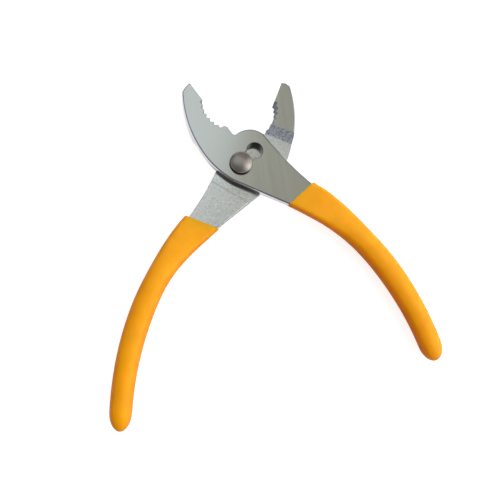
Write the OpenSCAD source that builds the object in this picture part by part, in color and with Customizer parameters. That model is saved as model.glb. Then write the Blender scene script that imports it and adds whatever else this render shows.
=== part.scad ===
// Slip joint pliers, lying face up with the jaws towards +Y and standing open.
// The origin is on the pivot axis, in the flat end face of the bolt and nut that the tool lies on.
// Both levers share one forging. It is drawn closed, with its closing plane on x = 0, the pivot
// line on y = 0 and its lap face on z = 0, and is then swung about the pivot.

/* [Opening] */
// Angle between the closing planes of the two levers as drawn
open_angle = 57.5; // [30:0.5:58]

/* [Jaws] */
// Pivot line to the tip of the jaws
jaw_reach = 53.6; // [50:0.2:58]
// Length of the flat nose behind the tip
nose_len = 11.8; // [9:0.2:14]
// Width of the blunt tip of one jaw
tip_w = 5.2; // [4:0.1:6.5]
// Crown of the blunt tip
tip_crown = 0.8; // [0.4:0.1:1.2]
// How far the back of a jaw bows out from a straight line
jaw_bow = 3.4; // [2:0.1:4.5]
// Thickness of one lap half, which is half the thickness of the jaws
lap_t = 5; // [4.5:0.1:6]
// Gap left between the flat noses when the jaws are shut
nose_gap = 0.1; // [0.06:0.02:0.3]
// Depth of the hollow pipe grip, over the tips of its teeth
hollow_depth = 3.1; // [2:0.1:4]
// Teeth in the pipe grip of each jaw
tooth_count = 7; // [5:1:9]
// Depth of the teeth
tooth_depth = 1.1; // [0.6:0.1:1.4]

/* [Boss and shank] */
// Pivot axis to the closing plane
pivot_offset = 5; // [4.4:0.1:5.6]
// Closing plane to the back of the boss
boss_back = 18.2; // [17:0.1:19]
// Height of the widest point of the boss above the pivot line
boss_back_y = 13.5; // [12:0.5:15]
// Closing plane to the heel, where the boss runs out into the shank
heel_x = 13.9; // [13:0.1:15]
// Drop of the heel below the pivot line
heel_y = 5.5; // [4:0.5:7]
// How far the boss bows out between its widest point and the heel
heel_bow = 1; // [0.4:0.1:1.5]
// Closing plane to the front of the boss
boss_front = 15.5; // [14.5:0.1:16.5]
// Radius of the rounded front of the boss
boss_r = 8.8; // [8:0.1:9.2]
// Height of the flat top of the boss above the pivot line
boss_top = 14.6; // [14:0.1:15.2]
// How far the front edge of the shank is hollowed
shank_hollow = 1.5; // [1:0.1:2.5]
// Width of the shank where the tang starts
shank_w = 13.8; // [13:0.1:15]
// Height of the wire cutter's lobe above the closing plane
cutter_out = 1.6; // [0.8:0.1:2]
// Length of the wire cutter's lobe, from the flat top of the boss to the pipe grip
cutter_len = 7.8; // [7:0.1:8.4]
// Width of the rounded edge of the forging, seen from the front
edge_w = 1; // [0.4:0.1:1.4]
// Depth of the rounded edge of the forging, down its side
edge_h = 1.5; // [0.8:0.1:2]
// Width of the small bevel on the working edges
work_edge_w = 0.2; // [0.1:0.05:0.4]

/* [Lap] */
// Gap between the two lap faces
lap_gap = 0.1; // [0.06:0.02:0.2]
// Depth of the relief beside the ground lap pad
relief = 0.4; // [0.2:0.05:0.6]
// Pivot line to the foot of the ramp up to the full thickness of the jaw
ramp_foot = 23.4; // [23:0.1:25]
// Run of the ramp along the jaw
ramp_run = 4.4; // [3:0.2:6]
// Pivot axis to the edge of the lap pad on the jaw side
pad_jaw = 18.4; // [17:0.2:19]
// Pivot axis to the edge of the lap pad on the handle side
pad_handle = 17; // [15:0.2:19]
// Slant of both edges of the lap pad
pad_slant = 9; // [0:1:12]

/* [Pivot] */
// Diameter of the bolt's shank
pin_d = 8.7; // [8:0.1:9]
// Width across the two flats on the shank
flat_w = 5.8; // [5:0.1:6.2]
// Running clearance round the shank, on the radius
pin_play = 0.05; // [0.03:0.01:0.1]
// Clearance beside the flats, each side
flat_play = 0.1; // [0.05:0.01:0.15]
// Distance between the two seats of the slot
slot_step = 10.8; // [10:0.1:11.2]
// Slant of the slot from square to the closing plane
slot_slant = 8; // [0:1:10]
// Diameter of the domed bolt head
head_d = 12.6; // [12:0.1:14]
// Height of the plain rim of the head
head_rim = 1; // [0.6:0.1:1.6]
// Rise of the dome above the rim
dome_rise = 2.4; // [1.6:0.1:3]
// Thickness of the washer
washer_t = 0.6; // [0.4:0.1:1]
// Outer diameter of the washer
washer_d = 12; // [11:0.1:12.4]
// Diameter of the bolt's threaded tail
tail_d = 6; // [5:0.5:7]
// Width across the flats of the nut
nut_w = 10; // [9.5:0.5:11]
// Height of the nut
nut_h = 3.2; // [2.6:0.1:4]
// Bevel on the corners of the nut
nut_bevel = 0.5; // [0.3:0.1:0.8]

/* [Handles] */
// Closing plane to the handle's centreline at its widest
bow_x = 25.6; // [24:0.2:28]
// Pivot line down to the widest point
bow_y = 90; // [86:1:96]
// Radius of the centreline above the widest point
upper_r = 125; // [122:1:140]
// Radius of the centreline below the widest point
lower_r = 165; // [150:5:200]
// Pivot line down to where the shank turns into the tang
tang_y = 43; // [42:0.5:46]
// Pivot line down to the end of the tang
tang_end_y = 142; // [130:1:144]
// Width of the tang inside the grip
tang_w = 8.6; // [7:0.1:9]
// Thickness of the tang inside the grip
tang_t = 7; // [6:0.1:8]

/* [Grips] */
// Pivot line down to the lip of the front grip
front_lip_y = 33.6; // [33:0.1:35]
// Slant of the lip of the front grip
front_lip_slant = 6; // [0:1:8]
// Pivot line down to the end of the front grip
front_end_y = 148; // [146:0.5:152]
// Width of the front grip at its middle
front_grip_w = 13.7; // [12.4:0.1:15]
// Pivot line down to the lip of the rear grip
rear_lip_y = 36.8; // [34:0.1:38]
// Slant of the lip of the rear grip
rear_lip_slant = 1; // [0:1:6]
// Pivot line down to the end of the rear grip
rear_end_y = 151.4; // [148:0.2:154]
// Width of the rear grip at its middle
rear_grip_w = 12.5; // [11.6:0.1:15]
// Width of a grip at its lip
lip_w = 18; // [17.4:0.1:19]
// Wall of a grip over the faces of the shank
lip_wall = 1.2; // [0.8:0.1:1.6]
// Wall of a grip over the lap side of the shank, where the handles cross in the wide setting
under_wall = 0.3; // [0.2:0.05:0.4]
// Thickness of a grip at its middle
grip_t = 10.6; // [9.6:0.1:12]
// How much narrower a grip is near its end
grip_taper = 1.2; // [0:0.1:2]
// Length over which a grip narrows from its lip
lip_run = 42; // [30:1:50]
// Length of the rounded end of a grip
end_round = 5.5; // [4:0.1:7]

/* [Hidden] */
$fn = 64;
swing = open_angle / 2;
// Height of the lap face above the surface that the tool lies on
lap_z = lap_t + nut_h;
overrun = 1;
// Reach of a cutter past everything that it cuts
wide = 200;
// Clearances of the washer, above and below it and round the bolt, and of the nut
washer_play = 0.05;
washer_fit = 0.08;
nut_play = 0.02;
// Places of the inner and outer edges of the shank, as shares of its width from the centreline
shank_shares = [-0.54, 0.46];
// Notch and lobe of the wire cutter, as shares of cutter_out and cutter_len
cutter_shares = [[1.4, 0.03], [0.95, 0.2], [1, 0.72]];
// Crown of the last stretch of the lobe, as a share of cutter_out
lobe_share = 0.33;
// Start of the tang within the shank, start of the solid that a grip is cut from, and the tang's swell
tang_lead = 6;
grip_lead = 12;
tang_swell = 24;
steel = [0.62, 0.63, 0.6];
dark_steel = [0.5, 0.49, 0.47];
vinyl = [0.98, 0.62, 0.1];
// Points on each round stretch of the outline
arc_steps = 10;
lobe_steps = 4;
// Sides of the tang and of the grips, and rings along them
tang_sides = 16;
grip_sides = 24;
tang_rings = 18;
grip_rings = 26;
end_rings = 5;
// Squareness of a section: 2 is an ellipse, and more is nearer a rectangle
tang_square = 4;
grip_square = 2.7;

// Outline of the forging

function right_of(v) = [v.y, -v.x] / norm(v);

// Points of an arc from p to q, without p, whose middle stands rise to the right of the chord
function arc(p, q, rise, steps = arc_steps) =
    let (half = norm(q - p) / 2,
         r = (half * half + rise * rise) / (2 * rise),
         centre = (p + q) / 2 + right_of(q - p) * (rise - r),
         from = atan2(p.y - centre.y, p.x - centre.x),
         turn = 2 * asin(half / r))
    [for (i = [1:steps]) centre + abs(r) * [cos(from + turn * i / steps), sin(from + turn * i / steps)]];

// Centreline of the handle at a distance y below the pivot line, and its lean there
function lean(y) = asin((bow_y - y) / (y < bow_y ? upper_r : lower_r));
function handle_x(y) = let (r = y < bow_y ? upper_r : lower_r) bow_x - r * (1 - cos(lean(y)));
function handle_point(y, out = 0) = [handle_x(y) + out * cos(lean(y)), out * sin(lean(y)) - y];

face_x = -nose_gap / 2;
nose_in_y = jaw_reach - tip_crown - nose_len;
cutter_top = boss_top + cutter_len;
tip_in = [face_x, jaw_reach - tip_crown];
tip_back = [-tip_w, jaw_reach - tip_crown];
boss_point = [-boss_back, boss_back_y];
heel = [-heel_x, -heel_y];
shank_in = handle_point(tang_y, shank_shares[0] * shank_w);
shank_out = handle_point(tang_y, shank_shares[1] * shank_w);
boss_side = [boss_front, boss_top - boss_r];
boss_crest = [boss_front - boss_r, boss_top];
cutter = [for (s = cutter_shares) [s[0] * cutter_out, boss_top + s[1] * cutter_len]];
cutter_end = [face_x, cutter_top];
nose_in = [face_x, nose_in_y];

// The pipe grip runs from the cutter to the nose, with tooth tips on one arc and roots behind it
tip_arc = concat([cutter_end], arc(cutter_end, nose_in, -hollow_depth, 2 * tooth_count));
teeth = [for (i = [1:2 * tooth_count - 1])
    i % 2 == 0 ? tip_arc[i] : tip_arc[i] + right_of(tip_arc[i + 1] - tip_arc[i - 1]) * -tooth_depth];

back_edge = concat(arc(tip_in, tip_back, tip_crown), arc(tip_back, boss_point, jaw_bow, 2 * arc_steps),
    arc(boss_point, heel, heel_bow), [shank_in, shank_out],
    arc(shank_out, boss_side, -shank_hollow, 2 * arc_steps),
    arc(boss_side, boss_crest, boss_r * (1 - cos(45))));
work_edge = concat(cutter, arc(cutter[len(cutter) - 1], cutter_end, cutter_out * lobe_share, lobe_steps),
    teeth, [nose_in, tip_in]);
outline = concat(back_edge, work_edge);
edge_widths = concat([for (p = back_edge) edge_w], [for (p = work_edge) work_edge_w]);
count = len(outline);

// The outline drawn in by a share of the width of its edge
function drawn_in(share) = [for (i = [0:count - 1])
    let (before = outline[(i + count - 1) % count], after = outline[(i + 1) % count])
    outline[i] - right_of(after - before) * edge_widths[i] * share];

// Triangles between two chains of points that both run down the page from one point
function strip(p, a, b, i = 0, j = 0) =
    i == len(a) - 1 && j == len(b) - 1 ? []
    : j == len(b) - 1 || (i < len(a) - 1 && p[a[i + 1]].y >= p[b[j + 1]].y)
        ? concat([[a[i], b[j], a[i + 1]]], strip(p, a, b, i + 1, j))
        : concat([[a[i], b[j], b[j + 1]]], strip(p, a, b, i, j + 1));

// The outline's flat faces, between its back and its front, from the top of the tip to the shank
top_step = round(arc_steps / 2) - 1;
shank_step = 4 * arc_steps;
outline_faces = strip(outline, [for (i = [top_step:shank_step]) i],
    [for (i = [count + top_step - 1:-1:shank_step + 1]) i % count]);

// A solid through closed rings that each have the same number of points, turning left about the way along.
// The faces of its ends are those of one convex ring, unless they are given.
module through(rings, ends = undef) {
    n = len(rings[0]);
    last = len(rings) - 1;
    sides = [for (k = [0:last - 1], i = [0:n - 1])
        let (a = k * n + i, b = k * n + (i + 1) % n) each [[a, a + n, b + n], [a, b + n, b]]];
    faces = is_undef(ends) ? [[for (i = [n - 1:-1:0]) i]] : ends;
    start = [for (f = faces) [for (i = [len(f) - 1:-1:0]) f[i]]];
    end = [for (f = faces) [for (i = f) last * n + i]];
    polyhedron(points = [for (r = rings) each r], faces = concat(start, sides, end), convexity = 6);
}

// Depth below a face, as a share of edge_h, and width drawn in, as a share of edge_w
edge_shares = [[1, 0], [0.35, 0.3], [0, 1]];

module forging() {
    low = [for (i = [len(edge_shares) - 1:-1:0]) [-lap_t + edge_shares[i][0] * edge_h, edge_shares[i][1]]];
    high = [for (e = edge_shares) [lap_t - e[0] * edge_h, e[1]]];
    through([for (level = concat(low, high)) [for (p = drawn_in(level[1])) [p.x, p.y, level[0]]]],
        outline_faces);
}

// The half of the thickness that the other lever laps over, down to the relief, without the ground pad
module lap_cut() {
    foot = relief + lap_gap / 2;
    drop = lap_t + overrun;
    run = ramp_run / lap_t;
    difference() {
        rotate([90, 0, 90])
            linear_extrude(height = wide, center = true)
                polygon([[ramp_foot - wide, -drop], [ramp_foot + drop * run, -drop],
                    [ramp_foot - foot * run, foot], [ramp_foot - wide, foot]]);
        translate([-pivot_offset, 0, lap_gap / 2])
            linear_extrude(height = foot)
                polygon([for (s = [[-1, pad_jaw], [1, pad_jaw], [1, -pad_handle], [-1, -pad_handle]])
                    s[0] * wide / 2 * [1, -sign(s[1]) * tan(pad_slant)] + [0, s[1]]]);
    }
}

// Sections of the handle

function eased(t) = let (s = max(0, min(1, t))) s * s * (3 - 2 * s);
function ring(y, half_w, half_t, mid_z, sides, square) = [for (i = [0:sides - 1])
    let (a = 360 * (i + 0.5) / sides, c = cos(a), s = sin(a),
         out = half_w * sign(c) * pow(abs(c), 2 / square),
         p = handle_point(y, out))
    [p.x, p.y, mid_z + half_t * sign(s) * pow(abs(s), 2 / square)]];

// The tang leaves the shank within the lap half and swells to both sides of the lap face
tang_start_y = tang_y - tang_lead;
module tang() {
    through([for (k = [0:tang_rings])
        let (y = tang_start_y + (tang_end_y - tang_start_y) * k / tang_rings,
             swell = eased((y - tang_start_y) / tang_swell),
             flat_t = lap_t - 2 * relief - lap_gap)
        ring(y, ((shank_w - 2 * edge_w) * (1 - swell) + tang_w * swell) / 2,
             (flat_t * (1 - swell) + tang_t * swell) / 2, (lap_t + lap_gap) / 2 * (1 - swell),
             tang_sides, tang_square)]);
}

module blank() {
    difference() {
        forging();
        lap_cut();
    }
    tang();
}

// Grips

module grip_body(middle_w, end_y) {
    top_y = tang_start_y - grip_lead;
    dome_y = end_y - end_round;
    low_z = relief + lap_gap / 2 - under_wall;
    high_z = lap_t + lip_wall;
    ys = concat([for (k = [0:grip_rings]) top_y + (dome_y - top_y) * k / grip_rings],
        [for (k = [1:end_rings]) dome_y + end_round * sin(88 * k / end_rings)]);
    through([for (y = ys)
        let (waist = eased((y - tang_start_y + tang_lead / 2) / lip_run),
             swell = eased((y - tang_start_y) / lip_run),
             narrow = eased((y - bow_y) / (end_y - bow_y)),
             round = y > dome_y ? sqrt(1 - pow((y - dome_y) / end_round, 2)) : 1,
             w = lip_w * (1 - waist) + middle_w * waist - grip_taper * narrow,
             t = (high_z - low_z) * (1 - swell) + grip_t * swell)
        ring(y, w / 2 * round, t / 2 * round, (high_z + low_z) / 2 * (1 - swell), grip_sides, grip_square)]);
}

module grip(lip_y, lip_slant, middle_w, end_y) {
    difference() {
        grip_body(middle_w, end_y);
        translate([0, -lip_y, 0])
            rotate([0, 0, lip_slant])
                translate([-wide / 2, 0, -wide / 2])
                    cube([wide, wide, wide]);
        difference() {
            forging();
            lap_cut();
        }
        tang();
    }
}

// The two ways in which a lever stands in the tool

module as_front() {
    translate([0, 0, lap_z])
        rotate([0, 0, swing])
            translate([pivot_offset, 0, 0])
                children();
}

module as_rear() {
    translate([0, 0, lap_z])
        rotate([0, 0, -swing])
            translate([pivot_offset, 0, 0])
                rotate([0, 180, 0])
                    children();
}

// A round bar or hole with two flats, whose flats run along x
module flatted(r, w, h) {
    intersection() {
        cylinder(r = r, h = h);
        translate([-r - overrun, -w / 2, 0])
            cube([2 * (r + overrun), w, h]);
    }
}

// The way of the slot, in the frame of the tool
slot_turn = swing + slot_slant;

module front_lever() {
    seat_r = pin_d / 2 + pin_play;
    neck_w = flat_w + 2 * flat_play;
    color(steel) difference() {
        as_front() blank();
        translate([0, 0, lap_z - overrun])
            rotate([0, 0, slot_turn]) {
                cylinder(r = seat_r, h = lap_t + 2 * overrun);
                translate([slot_step, 0, 0])
                    cylinder(r = seat_r, h = lap_t + 2 * overrun);
                translate([0, -neck_w / 2, 0])
                    cube([slot_step, neck_w, lap_t + 2 * overrun]);
            }
    }
}

module rear_lever() {
    color(steel) difference() {
        as_rear() blank();
        translate([0, 0, lap_z - lap_t - overrun])
            rotate([0, 0, slot_turn])
                flatted(pin_d / 2 + pin_play, flat_w + 2 * pin_play, lap_t + 2 * overrun);
    }
}

module pivot_bolt() {
    head_z = lap_z + lap_t + washer_t + 2 * washer_play;
    shank_z = nut_h + nut_play;
    dome_r = (head_d * head_d / 4 + dome_rise * dome_rise) / (2 * dome_rise);
    color(dark_steel) {
        cylinder(d = tail_d, h = lap_z);
        rotate([0, 0, slot_turn])
            translate([0, 0, shank_z])
                flatted(pin_d / 2, flat_w, head_z + head_rim / 2 - shank_z);
        translate([0, 0, head_z])
            intersection() {
                cylinder(d = head_d, h = head_rim + dome_rise);
                translate([0, 0, head_rim + dome_rise - dome_r])
                    sphere(r = dome_r);
            }
    }
}

module pivot_washer() {
    color(steel) translate([0, 0, lap_z + lap_t + washer_play])
        difference() {
            cylinder(d = washer_d, h = washer_t);
            translate([0, 0, -overrun])
                cylinder(r = pin_d / 2 + washer_fit, h = washer_t + 2 * overrun);
        }
}

module pivot_nut() {
    across = nut_w / cos(30);
    color(dark_steel) difference() {
        intersection() {
            rotate([0, 0, slot_turn])
                cylinder(d = across, h = nut_h, $fn = 6);
            cylinder(d1 = across - 2 * nut_bevel, d2 = across + 2 * (nut_h - nut_bevel), h = nut_h);
        }
        translate([0, 0, -overrun])
            cylinder(d = tail_d + 2 * nut_play, h = nut_h + 2 * overrun);
    }
}

module front_grip() {
    color(vinyl) as_front() grip(front_lip_y, front_lip_slant, front_grip_w, front_end_y);
}

module rear_grip() {
    color(vinyl) as_rear() grip(rear_lip_y, rear_lip_slant, rear_grip_w, rear_end_y);
}

front_lever();
rear_lever();
pivot_bolt();
pivot_washer();
pivot_nut();
front_grip();
rear_grip();
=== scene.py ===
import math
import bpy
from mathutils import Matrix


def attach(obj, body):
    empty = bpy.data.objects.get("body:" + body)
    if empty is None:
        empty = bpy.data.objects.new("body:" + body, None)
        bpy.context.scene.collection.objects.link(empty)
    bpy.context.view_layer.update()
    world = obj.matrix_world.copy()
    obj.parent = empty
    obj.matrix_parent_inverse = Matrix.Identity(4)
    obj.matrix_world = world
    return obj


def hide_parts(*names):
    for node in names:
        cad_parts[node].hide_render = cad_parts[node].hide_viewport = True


bl_info = {
    "name": "Slip Joint Pliers",
    "version": (1, 0, 0),
    "blender": (4, 5, 0),
    "location": "View3D > Sidebar > Pliers",
    "description": "Dresses the packed slip joint pliers with forged levers, a pivot and dipped grips",
    "category": "Object",
}

import bmesh
import bpy
from mathutils import Matrix, Vector

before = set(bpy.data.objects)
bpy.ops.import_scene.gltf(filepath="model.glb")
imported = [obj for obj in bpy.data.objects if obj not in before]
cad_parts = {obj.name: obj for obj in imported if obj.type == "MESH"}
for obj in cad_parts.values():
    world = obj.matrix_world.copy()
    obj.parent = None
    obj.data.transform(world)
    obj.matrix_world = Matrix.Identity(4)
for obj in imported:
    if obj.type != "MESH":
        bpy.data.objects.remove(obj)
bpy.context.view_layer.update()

MM = 0.001
SMALL = 0.02 * MM  # what counts as the same place
MERGE = SMALL / 4  # points closer than this are one
WIDE = 0.3  # longer than the tool

BACK_SHARE, FRONT_SHARE = 0.54, 0.46  # the shank's width on either side of the handle's centreline
BACK_STEPS, HEEL_STEPS, SHANK_STEPS, BOSS_STEPS, LOBE_STEPS, TIP_STEPS = 48, 24, 32, 24, 8, 6
TURN_STEPS, DOME_STEPS = 96, 12
GROUND_STEPS = 2  # how far down the back the slanted tip reaches, in steps
PEAK_IN, PEAK_DOWN, REAR_PEAK_IN = 0.1, 0.65, 0.45  # peaks of the tips, in shares of a tip's width and crown
SLANT_BOW, BOSS_BOW, LOBE_BOW = 0.25, 0.22, 0.33  # in shares of the tip's crown, the boss's radius, the lobe
CUTTER_LOBE = ((1.4, 0.03), (0.95, 0.2), (1.0, 0.72))  # in shares of its height and its length
FLAT_PLAY = 0.1 * MM  # beside the bolt's flats, in the slot's neck
SEAT_GAP = 0.05 * MM  # under the washer, and over it
THREAD_GAP = 0.02 * MM  # round the tail and over the nut
SLOT_BREAK = 0.22 * MM  # the bevel round the slot's edge
ACROSS = 6 * MM  # an edge as long as this crosses the slot
TOOTH_ROOM = 0.6 * MM  # what is still a tooth, past the depth of the hollow and the teeth
END_Y = -38 * MM  # the shank's end is below this
TANG_RINGS, EASE_RINGS = 16, 5
GRIP_RINGS = 30
GRIP_END_TURNS = (14, 28, 41, 54, 66, 77, 85)
WAIST_START, SWELL_START = 9 * MM, 6 * MM  # above the tang's start: a grip's width and thickness change
GRIP_HEAD = 18 * MM  # what the sleeve has above the tang, before its lip is cut
GRIP_CORNER, GRIP_CUTS = 0.36, 5  # the section's corners in shares of its thickness, and its cut sides
SOFT_FROM, SOFT_TO = 3 * MM, 36 * MM  # the softened stretch of a sleeve, below the tang's start
SOFTENED = 0.3  # how round its section gets there, ring by ring
LIP_ROLL = ((0.22 * MM, 0.0), (0.3 * MM, 0.0), (0.2 * MM, -0.5 * MM))  # steps in and up over the lip


# Properties


def length(name, default, text):
    """A size in millimetres, kept in metres."""
    return bpy.props.FloatProperty(
        name=name, description=text, default=default * MM, min=0.0, subtype="DISTANCE", unit="LENGTH",
        precision=5)


def degrees(name, default, text):
    """An angle in degrees, kept in radians."""
    return bpy.props.FloatProperty(
        name=name, description=text, default=math.radians(default), subtype="ANGLE", unit="ROTATION")


def colour(name, default, text):
    """A colour, in linear red, green and blue. Its alpha is 1."""
    return bpy.props.FloatVectorProperty(
        name=name, description=text, default=default + (1.0,), size=4, min=0.0, max=1.0, subtype="COLOR")


class PliersLeverSizes(bpy.types.PropertyGroup):
    """Sizes of the forging that both levers share."""

    jaw_reach: length("Jaw reach", 53.6, "Pivot line to the tip of the jaws")
    nose_len: length("Nose", 11.8, "Length of the flat nose behind the tip")
    tip_w: length("Tip width", 5.2, "Width of the blunt tip of one jaw")
    tip_crown: length("Tip crown", 0.8, "Crown of the blunt tip")
    jaw_bow: length("Jaw bow", 3.4, "How far the back of a jaw bows out from a straight line")
    lap_t: length("Lap thickness", 5.0, "Half of the thickness of the jaws")
    nose_gap: length("Nose gap", 0.1, "Gap between the flat noses when the jaws are shut")
    hollow_depth: length("Hollow", 3.1, "Depth of the pipe grip over the tips of its teeth")
    tooth_depth: length("Tooth depth", 1.35, "Depth of the teeth")
    tooth_count: bpy.props.IntProperty(
        name="Teeth", description="Teeth in each pipe grip", default=7, min=3, max=12)
    pivot_offset: length("Pivot offset", 5.0, "Pivot axis to the closing plane")
    boss_back: length("Boss back", 18.2, "Closing plane to the back of the boss")
    boss_back_y: length("Boss height", 13.5, "Widest point of the boss above the pivot line")
    heel_x: length("Heel", 13.9, "Closing plane to the heel")
    heel_y: length("Heel drop", 5.5, "Drop of the heel below the pivot line")
    heel_bow: length("Heel bow", 1.0, "Bow of the boss between its widest point and the heel")
    boss_front: length("Boss front", 15.5, "Closing plane to the front of the boss")
    boss_r: length("Boss radius", 8.8, "Radius of the rounded front of the boss")
    boss_top: length("Boss top", 14.6, "Height of the flat top of the boss above the pivot line")
    shank_hollow: length("Shank hollow", 1.5, "How far the front edge of the shank is hollowed")
    shank_w: length("Shank width", 13.8, "Width of the shank where the tang starts")
    cutter_out: length("Cutter", 1.6, "Height of the wire cutter's lobe")
    cutter_len: length("Cutter length", 7.8, "Length of the wire cutter's lobe")
    edge_round: length("Edge round", 1.35, "Rounding of the forging's outer edges")
    lap_round: length("Lap edge", 1.8, "Rounding of the shank's edges on the lap side")
    work_round: length("Working edge", 0.28, "Small bevel on the working edges")
    lap_gap: length("Lap gap", 0.1, "Gap between the two lap faces")
    relief: length("Relief", 0.4, "Depth of the relief beside the ground lap pad")
    ramp_foot: length("Ramp foot", 23.4, "Pivot line to the foot of the ramp")
    ramp_run: length("Ramp run", 4.4, "Run of the ramp along the jaw")
    pad_jaw: length("Pad, jaw side", 18.4, "Pivot axis to the edge of the lap pad on the jaw side")
    pad_handle: length("Pad, handle side", 17.0, "Pivot axis to the edge of the lap pad on the handle side")
    pad_slant: degrees("Pad slant", 9.0, "Slant of both edges of the lap pad")
    swing: degrees("Swing", 28.75, "Turn of each lever from closed, as the tool stands")
    slot_step: length("Slot step", 10.8, "Distance between the two seats of the slot")
    slot_slant: degrees("Slot slant", 8.0, "Slant of the slot from square to the closing plane")
    tang_y: length("Tang start", 43.0, "Pivot line down to where the shank turns into the tang")
    tang_end: length("Tang end", 142.0, "Pivot line down to the end of the tang")
    tang_w: length("Tang width", 8.6, "Width of the tang inside the grip")
    tang_t: length("Tang thickness", 7.0, "Thickness of the tang inside the grip")
    bow_x: length("Handle bow", 25.6, "Closing plane to the handle's centreline at its widest")
    bow_y: length("Handle bow height", 90.0, "Pivot line down to the widest point")
    upper_r: length("Upper radius", 125.0, "Radius of the centreline above the widest point")
    lower_r: length("Lower radius", 165.0, "Radius of the centreline below the widest point")


class PliersPivotSizes(bpy.types.PropertyGroup):
    """Sizes of the bolt, its washer and its nut."""

    lap_z: length("Lap height", 8.2, "Height of the lap face above the surface that the tool lies on")
    pin_d: length("Bolt", 8.7, "Diameter of the bolt's shank")
    flat_w: length("Flats", 5.8, "Width across the two flats on the shank")
    pin_play: length("Play", 0.05, "Running clearance round the shank")
    head_d: length("Head", 12.6, "Diameter of the domed head")
    head_rim: length("Head rim", 1.0, "Height of the plain rim of the head")
    head_step: length("Head taper", 0.35, "How far the rim of the head tapers in towards the dome")
    dome_rise: length("Dome", 2.4, "Rise of the dome above the rim")
    washer_t: length("Washer thickness", 0.6, "Thickness of the washer")
    washer_d: length("Washer", 12.0, "Outer diameter of the washer")
    tail_d: length("Tail", 6.0, "Diameter of the threaded tail")
    nut_w: length("Nut", 10.0, "Width across the flats of the nut")
    nut_h: length("Nut height", 3.2, "Height of the nut")


class PliersGripSizes(bpy.types.PropertyGroup):
    """Sizes of the two dipped grips."""

    front_lip_y: length("Front lip", 33.6, "Pivot line down to the lip of the front grip")
    front_lip_slant: degrees("Front lip slant", 6.0, "Slant of the lip of the front grip")
    front_end_y: length("Front end", 148.0, "Pivot line down to the end of the front grip")
    front_w: length("Front width", 13.7, "Width of the front grip at its middle")
    rear_lip_y: length("Rear lip", 36.8, "Pivot line down to the lip of the rear grip")
    rear_lip_slant: degrees("Rear lip slant", 1.0, "Slant of the lip of the rear grip")
    rear_end_y: length("Rear end", 151.4, "Pivot line down to the end of the rear grip")
    rear_w: length("Rear width", 12.5, "Width of the rear grip at its middle")
    lip_w: length("Lip width", 18.0, "Width of a grip at its lip")
    lip_wall: length("Lip wall", 1.2, "Wall of a grip over the face of the shank")
    under_wall: length("Under wall", 0.3, "Wall of a grip over the lap side of the shank")
    grip_t: length("Thickness", 10.6, "Thickness of a grip at its middle")
    grip_taper: length("Taper", 1.2, "How much narrower a grip is near its end")
    lip_run: length("Lip run", 42.0, "Length over which a grip narrows from its lip")
    end_round: length("End", 9.0, "Length over which the end of a grip rounds off")


class PliersColours(bpy.types.PropertyGroup):
    """Colours of the metals, the vinyl and the floor."""

    ground_steel: colour("Ground steel", (0.63, 0.64, 0.585), "Finely ground faces of the forgings")
    flank_steel: colour("Flank steel", (0.53, 0.53, 0.57), "Polished walls and rounded edges of the forgings")
    blasted_steel: colour("Blasted steel", (0.78, 0.81, 0.77), "Shot-blasted shanks and lap relief")
    # Darker than the blasted steel: partly the ramp's own rough finish, partly painted shade for a face
    # turned away from the light
    ramp_steel: colour("Ramp steel", (0.49, 0.57, 0.68), "Rough ramps between the jaws and the lap")
    # Near black: painted shade in the notches of the teeth, and the same dark on the shear edge
    tooth_steel: colour("Tooth steel", (0.085, 0.105, 0.14), "Broached teeth and the shear edge")
    # Near black: painted shade on the walls of the slot and the hole, and on the rim of the bolt's head
    slot_steel: colour("Slot steel", (0.045, 0.042, 0.04), "Oiled walls of the slot")
    bolt_steel: colour("Bolt steel", (0.41, 0.37, 0.33), "Polished head of the bolt and the nut")
    vinyl: colour("Vinyl", (0.94, 0.425, 0.001), "Dipped orange vinyl")
    floor: colour("Floor", (0.5, 0.5, 0.5), "Floor")


# Edit-mode tools


def deselect_all():
    """Leaves edit mode and selects nothing."""
    if bpy.context.object and bpy.context.object.mode != "OBJECT":
        bpy.ops.object.mode_set(mode="OBJECT")
    bpy.ops.object.select_all(action="DESELECT")


def pick(obj):
    """Makes this the one selected and active object."""
    deselect_all()
    obj.select_set(True)
    bpy.context.view_layer.objects.active = obj


def select_where(obj, kind, test):
    """In edit mode, selects the faces or edges that pass the test, and no others."""
    bpy.ops.mesh.select_mode(type=kind)
    bpy.ops.mesh.select_all(action="DESELECT")
    mesh = bmesh.from_edit_mesh(obj.data)
    for item in mesh.faces if kind == "FACE" else mesh.edges:
        if test(item):
            item.select_set(True)
    mesh.select_flush_mode()
    bmesh.update_edit_mesh(obj.data)


def middle(edge):
    """The middle of an edge."""
    return (edge.verts[0].co + edge.verts[1].co) / 2


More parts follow.
